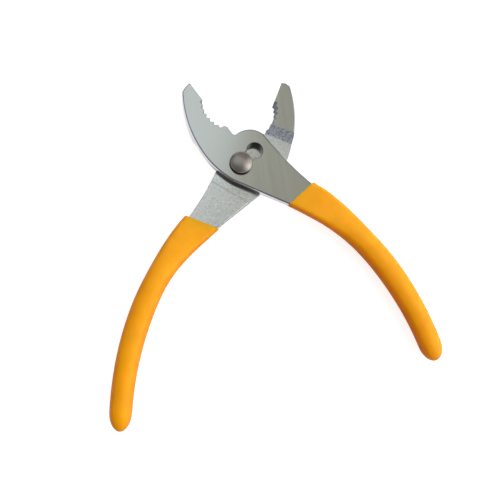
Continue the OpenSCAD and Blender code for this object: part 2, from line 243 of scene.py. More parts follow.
class Pen:
    """Draws an outline in edit mode, from a single vertex, with straight extrusions and spun arcs."""

    def __init__(self, name, start, z=0.0):
        deselect_all()
        self.z = z
        self.at = Vector(start)
        bpy.ops.mesh.primitive_plane_add(size=MM, location=(start[0], start[1], z))
        self.obj = bpy.context.object
        self.obj.name = name
        bpy.ops.object.transform_apply(location=True, rotation=True, scale=True)
        bpy.ops.object.mode_set(mode="EDIT")
        bpy.ops.mesh.select_mode(type="VERT")
        bpy.ops.mesh.select_all(action="SELECT")
        bpy.ops.mesh.merge(type="CENTER")

    def line(self, *points):
        """To each of these points in turn."""
        for point in points:
            step = Vector(point) - self.at
            bpy.ops.mesh.extrude_region_move(TRANSFORM_OT_translate={"value": (step.x, step.y, 0.0)})
            self.at = Vector(point)

    def arc(self, point, rise, steps):
        """To a point, on the arc whose middle stands rise to the right of the chord."""
        centre, turn = arc_about(self.at, Vector(point), rise)
        bpy.ops.mesh.spin(  # about an axis that points down, it turns left
            steps=steps, angle=-turn, center=(centre.x, centre.y, self.z), axis=(0.0, 0.0, 1.0))
        self.at = Vector(point)

    def solid(self, height):
        """Closes the outline and pulls it up."""
        bpy.ops.mesh.select_all(action="SELECT")
        bpy.ops.mesh.remove_doubles(threshold=MERGE)
        bpy.ops.mesh.edge_face_add()
        bpy.ops.mesh.extrude_region_move(TRANSFORM_OT_translate={"value": (0.0, 0.0, height)})
        bpy.ops.mesh.select_all(action="SELECT")
        bpy.ops.mesh.normals_make_consistent(inside=False)
        return self.obj


def right_of(v):
    """The direction to the right of v."""
    return Vector((v.y, -v.x)).normalized()


def arc_about(p, q, rise):
    """Centre and turn of the arc from p to q whose middle stands rise to the right of the chord."""
    half = (q - p).length / 2
    r = (half * half + rise * rise) / (2 * rise)
    return (p + q) / 2 + right_of(q - p) * (rise - r), 2 * math.asin(half / r)


def arc_points(p, q, rise, steps):
    """The points of that arc, after p."""
    centre, turn = arc_about(p, q, rise)
    start = p - centre
    return [centre + Matrix.Rotation(turn * i / steps, 2) @ start for i in range(1, steps + 1)]


def modify(obj, kind, **values):
    """Adds a modifier with these settings and applies it."""
    change = obj.modifiers.new("change", kind)
    for key, value in values.items():
        setattr(change, key, value)
    bpy.ops.object.modifier_apply(modifier=change.name)


def cut(obj, cutter, operation="DIFFERENCE"):
    """Takes the cutter out of the piece, or keeps what they share, and deletes the cutter."""
    pick(obj)
    modify(obj, "BOOLEAN", operation=operation, object=cutter, solver="MANIFOLD")
    bpy.data.objects.remove(cutter, do_unlink=True)


def block(low, high):
    """A cutter with these corners."""
    deselect_all()
    low, high = Vector(low), Vector(high)
    bpy.ops.mesh.primitive_cube_add(size=1.0, location=(low + high) / 2, scale=high - low)
    bpy.ops.object.transform_apply(location=True, rotation=True, scale=True)
    return bpy.context.object


def rod(r, low, high, x=0.0, sides=TURN_STEPS):
    """An upright cylinder or prism."""
    deselect_all()
    bpy.ops.mesh.primitive_cylinder_add(
        vertices=sides, radius=r, depth=high - low, location=(x, 0.0, (low + high) / 2))
    bpy.ops.object.transform_apply(location=True, rotation=True, scale=True)
    return bpy.context.object


def bevel(width, segments, kind="OFFSET"):
    """Rounds the selected edges."""
    bpy.ops.mesh.bevel(offset=width, offset_type=kind, segments=segments, profile=0.5, affect="EDGES",
                       clamp_overlap=False)


def turned(obj, angle, axis="Z", shift=(0.0, 0.0, 0.0)):
    """Turns a finished shape about the origin, then moves it, and keeps its place in its mesh."""
    pick(obj)
    obj.matrix_world = Matrix.Translation(Vector(shift)) @ Matrix.Rotation(angle, 4, axis)
    bpy.ops.object.transform_apply(location=True, rotation=True, scale=True)


def swing_out(obj, s, front):
    """Swings a lever or sleeve, drawn closed, out about the pivot. The rear one is turned over first."""
    swing = s.swing if front else -s.swing
    if not front:
        turned(obj, math.pi, "Y")
    turned(obj, swing, shift=Matrix.Rotation(swing, 3, "Z") @ Vector((s.pivot_offset, 0.0, 0.0)))


def finish_piece(obj, name, body, node, angle=30.0):
    """Shades a finished shape, names it, and says what it rides on and replaces."""
    pick(obj)
    obj.name = name
    obj.data.name = name
    bpy.ops.object.shade_smooth_by_angle(angle=math.radians(angle), keep_sharp_edges=False)
    modify(obj, "WEIGHTED_NORMAL", keep_sharp=True, weight=100)
    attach(obj, body)
    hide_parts(node)
    deselect_all()


# Levers


def eased(t):
    """Goes from 0 to 1 with t, and sets off and arrives gently."""
    t = max(0.0, min(1.0, t))
    return t * t * (3 - 2 * t)


def lean(s, y):
    """Lean of the handle's centreline at a distance y below the pivot line."""
    return math.asin((s.bow_y - y) / (s.upper_r if y < s.bow_y else s.lower_r))


def handle_point(s, y, out=0.0):
    """A point of the handle at a distance y below the pivot line, and out from its centreline."""
    r = s.upper_r if y < s.bow_y else s.lower_r
    a = lean(s, y)
    return Vector((s.bow_x - r * (1 - math.cos(a)) + out * math.cos(a), out * math.sin(a) - y))


def draw_forging(s, name, front):
    """The outline of a lever, closed, with its closing plane on x = 0 and the pivot line on y = 0."""
    face_x = -s.nose_gap / 2
    shoulder_y = s.jaw_reach - s.tip_crown
    pen = Pen(name, (face_x, shoulder_y), -s.lap_t)
    corner, widest = Vector((-s.tip_w, shoulder_y)), Vector((-s.boss_back, s.boss_back_y))
    back = [corner] + arc_points(corner, widest, s.jaw_bow, BACK_STEPS)
    if front:  # its tip is ground down at a slant
        back = back[GROUND_STEPS:]
        pen.line((-PEAK_IN * s.tip_w, s.jaw_reach - PEAK_DOWN * s.tip_crown))
        pen.arc(back[0], SLANT_BOW * s.tip_crown, TIP_STEPS)
    else:
        pen.line((-REAR_PEAK_IN * s.tip_w, s.jaw_reach), corner)
    pen.line(*back[1:])
    pen.arc((-s.heel_x, -s.heel_y), s.heel_bow, HEEL_STEPS)
    pen.line(handle_point(s, s.tang_y, -BACK_SHARE * s.shank_w))
    pen.line(handle_point(s, s.tang_y, FRONT_SHARE * s.shank_w))
    pen.arc((s.boss_front, s.boss_top - s.boss_r), -s.shank_hollow, SHANK_STEPS)
    pen.arc((s.boss_front - s.boss_r, s.boss_top), BOSS_BOW * s.boss_r, BOSS_STEPS)
    for across, up in CUTTER_LOBE:
        pen.line((across * s.cutter_out, s.boss_top + up * s.cutter_len))
    pen.arc((face_x, s.boss_top + s.cutter_len), LOBE_BOW * s.cutter_out, LOBE_STEPS)
    bottom = Vector((face_x, s.boss_top + s.cutter_len))
    top = Vector((face_x, shoulder_y - s.nose_len))
    tips = [bottom] + arc_points(bottom, top, -s.hollow_depth, 2 * s.tooth_count)
    for i in range(1, 2 * s.tooth_count):
        root = right_of(tips[i + 1] - tips[i - 1]) * -s.tooth_depth if i % 2 else Vector((0.0, 0.0))
        pen.line(tips[i] + root)
    pen.line(top, (face_x, shoulder_y))
    return pen.solid(2 * s.lap_t)


def tooth_floor(s):
    """What lies deeper than this isn't a tooth."""
    return -(s.hollow_depth + s.tooth_depth + TOOTH_ROOM)


def round_edges(obj, s):
    """Rounds the forging's outer edges, and breaks its working edges a little."""
    crest_x, crest_y = s.boss_front - s.boss_r, s.boss_top
    deep = tooth_floor(s)
    tang = handle_point(s, s.tang_y)
    along = right_of(handle_point(s, s.tang_y, MM) - tang)

    def rim(edge):
        a, b = edge.verts
        return abs(a.co.z - b.co.z) < SMALL and abs(abs(a.co.z) - s.lap_t) < SMALL

    def working(edge):
        a, b = edge.verts
        at = middle(edge)
        if at.y < crest_y - SMALL or min(a.co.x, b.co.x) < deep or max(a.co.x, b.co.x) > crest_x + SMALL:
            return False
        if at.y > s.jaw_reach - s.tip_crown - s.nose_len and at.x < -s.nose_gap:
            return False
        return max(a.co.y, b.co.y) < s.jaw_reach - s.tip_crown + SMALL

    def end(edge):
        at = middle(edge)
        return abs((Vector((at.x, at.y)) - tang).dot(along)) < 0.3 * MM

    select_where(obj, "EDGE", lambda e: rim(e) and not working(e) and not end(e))
    bevel(s.edge_round, 5, "WIDTH")
    select_where(obj, "EDGE", lambda e: rim(e) and working(e))
    bevel(s.work_round, 2)


def round_lap(obj, s):
    """Rounds the edges that the shank has on its lap side."""
    relief_z = s.relief + s.lap_gap / 2

    def shank_edge(edge):
        at = middle(edge)
        level = max(abs(v.co.z - relief_z) for v in edge.verts) < SMALL
        walls = [f for f in edge.link_faces
                 if abs(f.normal.z) < 0.3 and f.calc_center_median().z > relief_z]
        return at.y < -s.pad_handle and level and len(walls) == 1

    pick(obj)
    bpy.ops.object.mode_set(mode="EDIT")
    select_where(obj, "EDGE", shank_edge)
    bevel(s.lap_round, 4, "WIDTH")
    bpy.ops.object.mode_set(mode="OBJECT")


def lap_cutter(s):
    """What the other lever needs: the lap half, its ramp and the relief beside the ground pad."""
    foot = s.relief + s.lap_gap / 2
    drop = s.lap_t + MM
    run = s.ramp_run / s.lap_t
    pen = Pen("lap", (-drop, s.ramp_foot - WIDE), -WIDE / 2)
    pen.line((foot, s.ramp_foot - WIDE), (foot, s.ramp_foot - foot * run),
             (-drop, s.ramp_foot + drop * run))
    cutter = pen.solid(WIDE)
    bpy.ops.object.mode_set(mode="OBJECT")
    turned(cutter, math.radians(-90), "Y")
    left, right = -s.pivot_offset - WIDE / 2, -s.pivot_offset + WIDE / 2
    slant = WIDE / 2 * math.tan(s.pad_slant)
    pen = Pen("pad", (left, s.pad_jaw + slant), s.lap_gap / 2)
    pen.line((left, -s.pad_handle - slant), (right, -s.pad_handle + slant), (right, s.pad_jaw - slant))
    pad = pen.solid(foot)
    bpy.ops.object.mode_set(mode="OBJECT")
    cut(cutter, pad)
    return cutter


def grow_tang(obj, s):
    """Pulls the end of the shank out, down the middle of the handle, into the tang."""
    bpy.ops.object.mode_set(mode="EDIT")
    tang = handle_point(s, s.tang_y)
    down = right_of(handle_point(s, s.tang_y, MM) - tang)

    def end_face(face):
        c, n = face.calc_center_median(), face.normal
        return c.y < END_Y and n.x * down.x + n.y * down.y > 0.95

    select_where(obj, "FACE", end_face)
    y, mid_z, w, t = s.tang_y, (s.lap_t + s.relief + s.lap_gap / 2) / 2, s.shank_w, s.lap_t - s.relief
    for i in range(1, TANG_RINGS + 1):
        ease = eased(i / EASE_RINGS)
        new_y = s.tang_y + (s.tang_end - s.tang_y) * i / TANG_RINGS
        new_w = s.shank_w * (1 - ease) + s.tang_w * ease
        new_t = (s.lap_t - s.relief) * (1 - ease) + s.tang_t * ease
        new_z = (s.lap_t + s.relief) / 2 * (1 - ease)
        centre = draw_on(s, y, new_y, mid_z, new_z)
        bpy.ops.transform.resize(value=(new_w / w, 1.0, new_t / t), center_override=centre)
        swivel(lean(s, new_y), centre)
        y, mid_z, w, t = new_y, new_z, new_w, new_t
    bpy.ops.object.mode_set(mode="OBJECT")


def draw_on(s, y, new_y, mid_z, new_z):
    """Draws the ring on down the handle, turns it square for its new size, and returns its middle."""
    here, there = handle_point(s, y), handle_point(s, new_y)
    bpy.ops.mesh.extrude_region_move(
        TRANSFORM_OT_translate={"value": (there.x - here.x, there.y - here.y, new_z - mid_z)})
    centre = (there.x, there.y, new_z)
    swivel(-lean(s, y), centre)
    return centre


def swivel(angle, centre):
    """Turns the selection about +Z. Without a window, the operator turns the other way."""
    bpy.ops.transform.rotate(value=-angle, orient_axis="Z", center_override=centre)


def coat(obj, material):
    """Gives the whole shape one material."""
    obj.data.materials.clear()
    obj.data.materials.append(material)


def assign(obj, material, test):
    """Gives the material to the faces that pass the test."""
    pick(obj)
    if material.name not in [m.name for m in obj.data.materials if m]:
        obj.data.materials.append(material)
    obj.active_material_index = obj.data.materials.find(material.name)
    bpy.ops.object.mode_set(mode="EDIT")
    select_where(obj, "FACE", test)
    bpy.ops.object.material_slot_assign()
    bpy.ops.object.mode_set(mode="OBJECT")


def seat_cutter(s, p, places, half_neck):
    """A cutter for round seats at these places along x, with the neck between them or a seat's flats."""
    r = p.pin_d / 2 + p.pin_play
    low, high = -2 * s.lap_t, 4 * s.lap_t
    cutter = rod(r, low, high, places[0])
    for x in places[1:]:
        cut(cutter, rod(r, low, high, x), "UNION")
    if len(places) > 1:
        cut(cutter, block((places[0], -half_neck, low), (places[1], half_neck, high)), "UNION")
    else:
        cut(cutter, block((-2 * r, -half_neck, 2 * low), (2 * r, half_neck, 2 * high)), "INTERSECT")
    return cutter


def make_lever(front):
    """A lever: the forging cut to its lap, with its tang, and the front one's slot or the rear one's hole."""
    scene = bpy.context.scene
    s, p = scene.pliers_lever, scene.pliers_pivot
    side = "front" if front else "rear"
    obj = draw_forging(s, side + "_lever_forging", front)
    round_edges(obj, s)
    bpy.ops.object.mode_set(mode="OBJECT")
    coat(obj, steel("blasted_steel"))
    assign(obj, steel("flank_steel"), lambda f: True)
    # The walls of the teeth and the wire cutter get a near-black colour as painted shade
    assign(obj, steel("tooth_steel"), lambda f: abs(f.normal.z) < 0.9 and f.normal.x > -0.9
           and tooth_floor(s) < f.calc_center_median().x < 1.5 * s.cutter_out
           and s.boss_top - SMALL < f.calc_center_median().y < s.jaw_reach - s.tip_crown - s.nose_len)
    cut(obj, lap_cutter(s))
    round_lap(obj, s)
    # The ramp's darker colour is partly its rough finish and partly painted shade
    assign(obj, steel("ramp_steel"), lambda f: 0.2 < -f.normal.z < 0.98
           and abs(abs(f.calc_center_median().z) - s.lap_t) > s.edge_round
           and s.ramp_foot - MM < f.calc_center_median().y < s.ramp_foot + s.ramp_run)
    grow_tang(obj, s)
    swing_out(obj, s, front)
    if front:
        cutter = seat_cutter(s, p, (0.0, s.slot_step), p.flat_w / 2 + FLAT_PLAY)
    else:
        cutter = seat_cutter(s, p, (0.0,), p.flat_w / 2 + p.pin_play)
    turned(cutter, s.swing + s.slot_slant)
    cut(obj, cutter)
    back = Matrix.Rotation(-s.swing - s.slot_slant, 3, "Z")
    reach = (s.slot_step if front else 0.0) + p.pin_d

    def bore(face):
        at = back @ face.calc_center_median()
        return abs(face.normal.z) < 0.97 and -p.pin_d < at.x < reach and abs(at.y) < p.pin_d / 2 + 0.3 * MM

    if front:
        break_slot(obj, s, p)
    # The walls of the slot and the hole get near-black painted shade
    assign(obj, steel("slot_steel"), bore)
    assign(obj, steel("ground_steel"), lambda f: abs(f.normal.z) > 0.999
           and abs(abs(f.calc_center_median().z) - s.lap_t) < SMALL)
    turned(obj, 0.0, shift=(0.0, 0.0, p.lap_z))
    finish_piece(obj, side + "_lever_forging", side + "_half", side + "_lever")


def break_slot(obj, s, p):
    """Breaks the slot's edge on the face."""
    bpy.ops.object.mode_set(mode="EDIT")
    back = Matrix.Rotation(-s.swing - s.slot_slant, 3, "Z")
    r = p.pin_d / 2 + p.pin_play

    def slot_edge(edge):
        for v in edge.verts:
            q = back @ v.co
            near = min(abs(math.hypot(q.x, q.y) - r), abs(math.hypot(q.x - s.slot_step, q.y) - r),
                       abs(abs(q.y) - p.flat_w / 2 - FLAT_PLAY) if 0 < q.x < s.slot_step else 1.0)
            if abs(q.z - s.lap_t) > SMALL or near > SMALL:
                return False
        return edge.calc_length() < ACROSS

    select_where(obj, "EDGE", slot_edge)
    bevel(SLOT_BREAK, 2)
    bpy.ops.object.mode_set(mode="OBJECT")


# Grips


def grip_section(s, g, y, middle_w, end_y):
    """Width, thickness and middle height of a grip at a distance y below the pivot line."""
    low, high = s.relief + s.lap_gap / 2 - g.under_wall, s.lap_t + g.lip_wall
    waist = eased((y - s.tang_y + WAIST_START) / g.lip_run)
    swell = eased((y - s.tang_y + SWELL_START) / g.lip_run)
    narrow = eased((y - s.bow_y) / (end_y - s.bow_y))
    w = g.lip_w * (1 - waist) + middle_w * waist - g.grip_taper * narrow
    t = (high - low) * (1 - swell) + g.grip_t * swell
    return w, t, (high + low) / 2 * (1 - swell)


def make_grip(front):
    """A sleeve: one section, drawn out ring by ring down the handle to its round end."""
    scene = bpy.context.scene
    s, g, p = scene.pliers_lever, scene.pliers_grip, scene.pliers_pivot
    side = "front" if front else "rear"
    lip_y, slant, middle_w, end_y = (
        (g.front_lip_y, g.front_lip_slant, g.front_w, g.front_end_y) if front
        else (g.rear_lip_y, g.rear_lip_slant, g.rear_w, g.rear_end_y))
    top_y, dome_y = s.tang_y - GRIP_HEAD, end_y - g.end_round
    ys = [top_y + (dome_y - top_y) * i / GRIP_RINGS for i in range(GRIP_RINGS + 1)]
    ys += [dome_y + g.end_round * math.sin(math.radians(a)) for a in GRIP_END_TURNS]
    w, t, mid_z = grip_section(s, g, ys[0], middle_w, end_y)
    deselect_all()
    bpy.ops.mesh.primitive_plane_add(size=1.0, location=(0.0, 0.0, 0.0))
    obj = bpy.context.object
    bpy.ops.object.mode_set(mode="EDIT")
    bpy.ops.mesh.select_all(action="SELECT")
    bpy.ops.transform.resize(value=(w, t, 1.0), center_override=(0.0, 0.0, 0.0))
    bpy.ops.mesh.bevel(offset=GRIP_CORNER * t, segments=4, profile=0.5, affect="VERTICES")
    select_where(obj, "EDGE", lambda e: e.calc_length() > 0.2 * t)
    bpy.ops.mesh.subdivide(number_cuts=GRIP_CUTS)
    bpy.ops.mesh.select_all(action="SELECT")
    bpy.ops.transform.rotate(value=math.radians(90), orient_axis="X", center_override=(0.0, 0.0, 0.0))
    here = handle_point(s, ys[0])
    bpy.ops.transform.translate(value=(here.x, here.y, mid_z))
    swivel(lean(s, ys[0]), (here.x, here.y, mid_z))
    y = ys[0]
    for new_y in ys[1:]:
        new_w, new_t, new_z = grip_section(s, g, new_y, middle_w, end_y)
        if new_y > dome_y:
            round_off = math.sqrt(1 - ((new_y - dome_y) / g.end_round) ** 2)
            new_w, new_t = new_w * round_off, new_t * round_off
        centre = draw_on(s, y, new_y, mid_z, new_z)
        if s.tang_y + SOFT_FROM < new_y < s.tang_y + SOFT_TO:
            bpy.ops.transform.resize(value=(1.0, 1.0, w / t), center_override=centre)
            bpy.ops.transform.tosphere(value=SOFTENED, center_override=centre)
            w, t = ring_size(obj)
        bpy.ops.transform.resize(value=(new_w / w, 1.0, new_t / t), center_override=centre)
        swivel(lean(s, new_y), centre)
        y, w, t, mid_z = new_y, new_w, new_t, new_z
    bpy.ops.mesh.select_all(action="SELECT")
    bpy.ops.mesh.normals_make_consistent(inside=False)
    cut_lip(obj, lip_y, slant)
    bpy.ops.object.mode_set(mode="OBJECT")
    modify(obj, "SUBSURF", levels=2, render_levels=2)
    swing_out(obj, s, front)
    turned(obj, 0.0, shift=(0.0, 0.0, p.lap_z))
    # crown, how far each point faces up, drives the vinyl's painted shade on the sides
    crown = obj.data.attributes.new("crown", "FLOAT", "POINT")
    crown.data.foreach_set("value", [abs(v.normal.z) for v in obj.data.vertices])
    coat(obj, dipped_vinyl())
    finish_piece(obj, side + "_grip_sleeve", side + "_half", side + "_grip", 60.0)


def ring_size(obj):
    """Width and thickness of the selected ring."""
    ring = [v.co for v in bmesh.from_edit_mesh(obj.data).verts if v.select]
    return max(v.x for v in ring) - min(v.x for v in ring), max(v.z for v in ring) - min(v.z for v in ring)


def cut_lip(obj, lip_y, slant):
    """Cuts the sleeve off at its slanted lip and rolls the lip over a little."""
    normal = Vector((-math.sin(slant), math.cos(slant), 0.0))
    place = (0.0, -lip_y, 0.0)
    bpy.ops.mesh.select_all(action="SELECT")
    bpy.ops.mesh.bisect(plane_co=place, plane_no=normal, clear_outer=True, use_fill=True)

    def lip(face):
        off = (face.calc_center_median() - Vector(place)).dot(normal)
        return face.normal.dot(normal) > 0.95 and abs(off) < SMALL

    select_where(obj, "FACE", lip)
    for inward, outward in LIP_ROLL:
        bpy.ops.mesh.inset(thickness=inward, depth=outward)


# Pivot


def spun(name, profile):
    """A turned part, from its profile of radius and height. A third number is the rise of an arc."""
    deselect_all()
    pen = Pen(name, profile[0])
    for point in profile[1:]:
        if len(point) == 2:
            pen.line(point)
        else:
            pen.arc(point[:2], point[2], DOME_STEPS)
    obj = pen.obj
    bpy.ops.mesh.select_all(action="SELECT")
    bpy.ops.transform.rotate(value=math.radians(-90), orient_axis="X", center_override=(0.0, 0.0, 0.0))
    bpy.ops.mesh.spin(steps=TURN_STEPS, angle=2 * math.pi, center=(0.0, 0.0, 0.0), axis=(0.0, 0.0, 1.0))
    bpy.ops.mesh.select_all(action="SELECT")
    bpy.ops.mesh.remove_doubles(threshold=MERGE)
    bpy.ops.mesh.select_all(action="SELECT")
    bpy.ops.mesh.normals_make_consistent(inside=False)
    bpy.ops.object.mode_set(mode="OBJECT")
    return obj


def make_bolt():
    """The bolt: its tail, its shank with two flats, and its head with a tapered rim and a dome."""
    scene = bpy.context.scene
    s, p = scene.pliers_lever, scene.pliers_pivot
    head_z = p.lap_z + s.lap_t + p.washer_t + 2 * SEAT_GAP
    shank_z = p.nut_h + THREAD_GAP
    r, tail = p.head_d / 2, p.tail_d / 2
    top, edge = head_z + p.head_rim + p.dome_rise, r - p.head_step
    shoulder = head_z + 1.5 * p.head_rim
    tail_bevel, shank_bevel, head_bevel = 0.5 * MM, 0.3 * MM, 0.2 * MM
    ledge, step_up = 0.25 * MM, 0.22 * MM
    bow, up = edge - ledge, top - shoulder - step_up
    dome_r = (bow * bow + up * up) / (2 * up)
    rise = dome_r - math.sqrt(dome_r ** 2 - (math.hypot(bow, up) / 2) ** 2)
    profile = [(0.0, 0.0), (tail - tail_bevel, 0.0), (tail, tail_bevel), (tail, shank_z),
               (p.pin_d / 2 - shank_bevel, shank_z), (p.pin_d / 2, shank_z + shank_bevel),
               (p.pin_d / 2, head_z), (r - head_bevel, head_z), (r, head_z + head_bevel),
               (edge, shoulder), (edge - ledge, shoulder + step_up), (0.0, top, rise)]
    obj = spun("bolt", profile)
    for low, high in ((-r, -p.flat_w / 2), (p.flat_w / 2, r)):
        cut(obj, block((-r, low, shank_z - MM), (r, high, head_z)))
    turned(obj, s.swing + s.slot_slant)
    coat(obj, polished_bolt())
    # The rim's wall under the dome takes the near-black slot colour as painted shade under the head
    assign(obj, steel("rim_steel"), lambda f: abs(f.normal.z) < 0.6
           and head_z - SMALL < f.calc_center_median().z < shoulder)
    finish_piece(obj, "pivot_bolt_domed", "rear_half", "pivot_bolt", 35.0)


def make_washer():
    """The flat washer that rides with the bolt."""
    scene = bpy.context.scene
    s, p = scene.pliers_lever, scene.pliers_pivot
    low = p.lap_z + s.lap_t + SEAT_GAP
    high, r, bore, soft = low + p.washer_t, p.washer_d / 2, p.pin_d / 2 + 0.08 * MM, 0.12 * MM
    obj = spun("washer", [(bore, low), (r - soft, low), (r, low + soft), (r, high - soft), (r - soft, high),
                          (bore, high), (bore, low)])
    coat(obj, bright_washer())
    finish_piece(obj, "pivot_washer_ring", "slipping_washer", "pivot_washer")


def make_nut():
    """The nut on the bolt's tail, with bevelled corners on its outer face."""
    scene = bpy.context.scene
    s, p = scene.pliers_lever, scene.pliers_pivot
    across = p.nut_w / math.cos(math.radians(30))
    obj = rod(across / 2, 0.0, p.nut_h, sides=6)
    turned(obj, math.radians(30))
    slope, wide, tall = 0.5 * MM, across / 2 + p.nut_h, p.nut_h + MM
    collar = spun("collar", [(0.0, -MM), (across / 2 - slope - MM, -MM), (wide, p.nut_h - slope + MM),
                             (wide, tall), (0.0, tall)])
    cut(obj, collar, "INTERSECT")
    cut(obj, rod(p.tail_d / 2 + THREAD_GAP, -2 * p.nut_h, 2 * p.nut_h, sides=64))
    turned(obj, s.swing + s.slot_slant)
    coat(obj, polished_bolt())
    finish_piece(obj, "pivot_nut_hex", "rear_half", "pivot_nut")


# Materials


def new_material(name):
    """A material, its nodes and its shader. One that is there already comes back alone."""
    material = bpy.data.materials.get(name)
    if material:
        return material, None, None
    material = bpy.data.materials.new(name)
    material.use_nodes = True
    return material, material.node_tree, material.node_tree.nodes["Principled BSDF"]


def node(tree, kind, **values):
    """A node with these values in its sockets or settings."""
    new = tree.nodes.new(kind)
    for key, value in values.items():
        if key in new.inputs:
            new.inputs[key].default_value = value
        else:
            setattr(new, key, value)
    return new


def noise(tree, scale, detail=4.0, roughness=0.6, stretch=(1.0, 1.0, 1.0)):
    """A noise on the piece's own coordinates, whose scale is in lumps per metre."""
    place = node(tree, "ShaderNodeTexCoord")
    fit = node(tree, "ShaderNodeMapping")
    fit.inputs["Scale"].default_value = stretch
    grain = node(tree, "ShaderNodeTexNoise", Scale=scale, Detail=detail, Roughness=roughness)
    tree.links.new(place.outputs["Object"], fit.inputs["Vector"])
    tree.links.new(fit.outputs["Vector"], grain.inputs["Vector"])
    return grain.outputs["Fac"]


def ramp(tree, value, low, high, dark, light):
    """Maps a value from low..high onto two colours or two greys."""
    new = node(tree, "ShaderNodeValToRGB")
    new.color_ramp.elements[0].position = low
    new.color_ramp.elements[1].position = high
    new.color_ramp.elements[0].color = dark
    new.color_ramp.elements[1].color = light
    tree.links.new(value, new.inputs["Fac"])
    return new.outputs["Color"]


def mottle(tree, value, dark, light):
    """Spreads a noise over two colours or two greys."""
    return ramp(tree, value, 0.3, 0.7, dark, light)


def bump(tree, shader, value, strength, distance):
    """Raises the surface with a value, at most by the distance."""
    new = node(tree, "ShaderNodeBump", Strength=strength, Distance=distance)
    tree.links.new(value, new.inputs["Height"])
    tree.links.new(new.outputs["Normal"], shader.inputs["Normal"])


def shade(colour_value, factor):
    """A colour made darker or lighter."""
    return tuple(min(1.0, c * factor) for c in colour_value[:3]) + (1.0,)


def grey(value):
    """A grey of this value, as a colour."""
    return (value, value, value, 1.0)


def near_pivot(tree, flat, low, high, inside):
    """A factor: inside within low of the pivot, 1 past high. It reaches 1 / flat as far upwards."""
    place, fit = node(tree, "ShaderNodeTexCoord"), node(tree, "ShaderNodeMapping")
    fit.inputs["Location"].default_value = (0.0, 0.0, -flat * bpy.context.scene.pliers_pivot.lap_z)
    fit.inputs["Scale"].default_value = (1.0, 1.0, flat)
    far = node(tree, "ShaderNodeVectorMath", operation="LENGTH")
    tree.links.new(place.outputs["Object"], fit.inputs["Vector"])
    tree.links.new(fit.outputs["Vector"], far.inputs[0])
    return ramp(tree, far.outputs["Value"], low, high, grey(inside), grey(1.0))


def times(tree, socket, factor):
    """Multiplies what goes into a socket by a factor."""
    both = node(tree, "ShaderNodeMixRGB", Fac=1.0, blend_type="MULTIPLY")
    tree.links.new(socket.links[0].from_socket, both.inputs["Color1"])
    tree.links.new(factor, both.inputs["Color2"])
    tree.links.new(both.outputs["Color"], socket)


# Grain and clouds are in lumps per metre, the grain's depth is in metres. The painted_shade entry darkens the
# walls by the lap near the pivot, where the levers overlap, as painted shade, and the pad is rubbed smooth
# there.
FINISHES = {
    "ground_steel": dict(grain=2200.0, clouds=420.0, spread=0.03, rough=(0.14, 0.18), rise=0.04,
                         depth=0.00001, stretch=(1.0, 0.06, 1.0)),
    "flank_steel": dict(grain=1200.0, clouds=150.0, spread=0.08, rough=(0.14, 0.24), rise=0.1,
                        depth=0.00002, painted_shade=dict(flat=5.0, low=0.0165, high=0.0195, inside=0.1)),
    "blasted_steel": dict(grain=1500.0, clouds=160.0, spread=0.26, rough=(0.26, 0.33), rise=0.3,
                          depth=0.00006, rub=dict(flat=1.0, low=0.015, high=0.0165, inside=0.35)),
    "ramp_steel": dict(grain=1100.0, clouds=300.0, spread=0.6, rough=(0.45, 0.6), rise=0.8, depth=0.0001,
                       metal=0.5),
    "tooth_steel": dict(grain=1400.0, clouds=300.0, spread=0.7, rough=(0.3, 0.45), rise=0.5, depth=0.00005,
                        metal=0.6),
    # The slot and rim finishes below are near black: painted shade in the slot, the hole and under the bolt's
    # head
    "slot_steel": dict(grain=900.0, clouds=300.0, spread=0.1, rough=(0.2, 0.35), rise=0.2, depth=0.00003),
    "rim_steel": dict(grain=900.0, clouds=300.0, spread=0.1, rough=(0.2, 0.3), rise=0.1, depth=0.00002,
                      colour="slot_steel"),
}


def steel(name):
    """The steel with this finish."""
    material, tree, shader = new_material(name)
    if tree:
        finish = FINISHES[name]
        base = getattr(bpy.context.scene.pliers_colours, finish.get("colour", name))
        spread, rough = finish["spread"], finish["rough"]
        shader.inputs["Metallic"].default_value = finish.get("metal", 1.0)
        fine = noise(tree, finish["grain"], 3.0, 0.65)
        wide = noise(tree, finish["clouds"], stretch=finish.get("stretch", (1.0, 1.0, 1.0)))
        tone = mottle(tree, fine if spread > 0.15 else wide, shade(base, 1 - spread), shade(base, 1 + spread))
        tree.links.new(tone, shader.inputs["Base Color"])
        tree.links.new(mottle(tree, wide, grey(rough[0]), grey(rough[1])), shader.inputs["Roughness"])
        bump(tree, shader, fine, finish["rise"], finish["depth"])
        # The first entry darkens the colour near the pivot as painted shade; rub lowers the roughness there
        for key, socket in (("painted_shade", "Base Color"), ("rub", "Roughness")):
            if key in finish:
                times(tree, shader.inputs[socket], near_pivot(tree, **finish[key]))
    return material


def polished_bolt():
    """The bolt's steel, polished but with soft clouds. The nut has it too."""
    material, tree, shader = new_material("polished_bolt")
    if tree:
        base = bpy.context.scene.pliers_colours.bolt_steel
        shader.inputs["Metallic"].default_value = 1.0
        clouds = noise(tree, 260.0)
        tone = mottle(tree, clouds, shade(base, 0.82), shade(base, 1.12))
        tree.links.new(tone, shader.inputs["Base Color"])
        tree.links.new(mottle(tree, clouds, grey(0.36), grey(0.44)), shader.inputs["Roughness"])
        bump(tree, shader, clouds, 0.05, 0.00003)
    return material


def bright_washer():
    """The washer's bare steel, made dark as painted shade under the bolt's head."""
    material, tree, shader = new_material("bright_washer")
    if tree:
        shader.inputs["Metallic"].default_value = 1.0
        grain = noise(tree, 1500.0, 3.0, 0.6)
        tree.links.new(mottle(tree, grain, grey(0.22), grey(0.32)), shader.inputs["Base Color"])
        shader.inputs["Roughness"].default_value = 0.25
    return material


